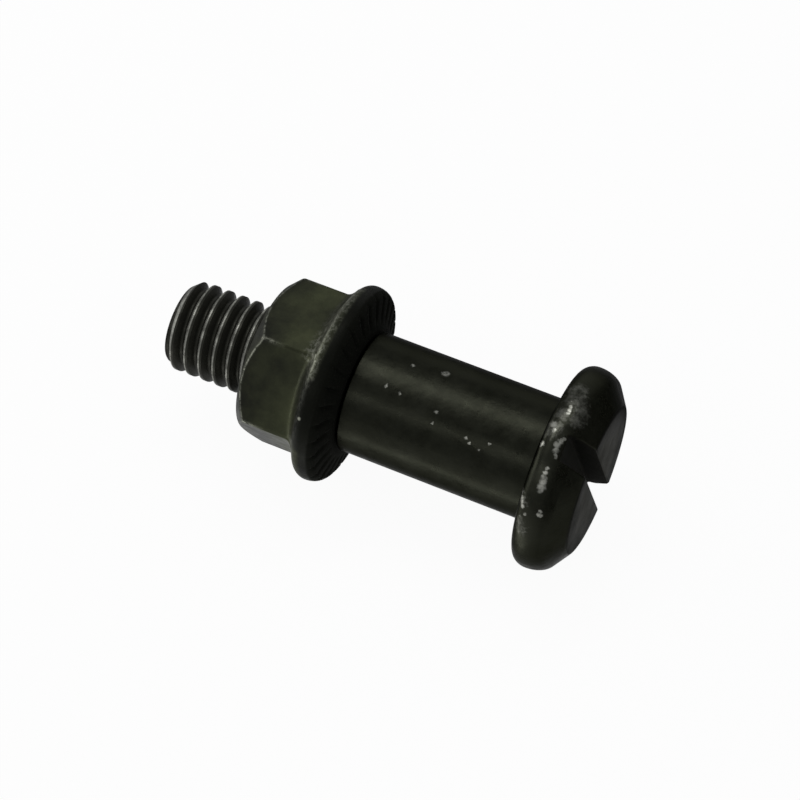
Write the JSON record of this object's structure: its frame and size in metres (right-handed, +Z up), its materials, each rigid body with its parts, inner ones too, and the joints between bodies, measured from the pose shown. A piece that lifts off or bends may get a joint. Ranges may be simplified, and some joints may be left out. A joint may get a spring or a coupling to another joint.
{
  "type": "lever pivot bolt",
  "caption": "Slotted shoulder bolt with a flat-topped round head, a plain bearing shoulder, a short thread and a toothed flange nut seated against the shoulder.",
  "frame": {"origin": "on the surface that the bolt lies on, under the middle of its length", "axes": "+X along the bolt from the thread's tip to the head, +Z up"},
  "size_m": [0.0288, 0.0132, 0.0133],
  "materials": {
    "black_bolt_steel": "satin black oxide, worn bright at the head's rim",
    "black_nut_steel": "satin black oxide with an olive cast"
  },
  "bodies": {
    "bolt": {"bolt": "black_bolt_steel"},
    "nut": {"flange_nut": "black_nut_steel"}
  },
  "joints": [
    {"name": "nut_run_off", "type": "slide", "parent": "bolt", "child": "nut", "axis": [-1, 0, 0], "range_m": [0, 0.016]}
  ]
}
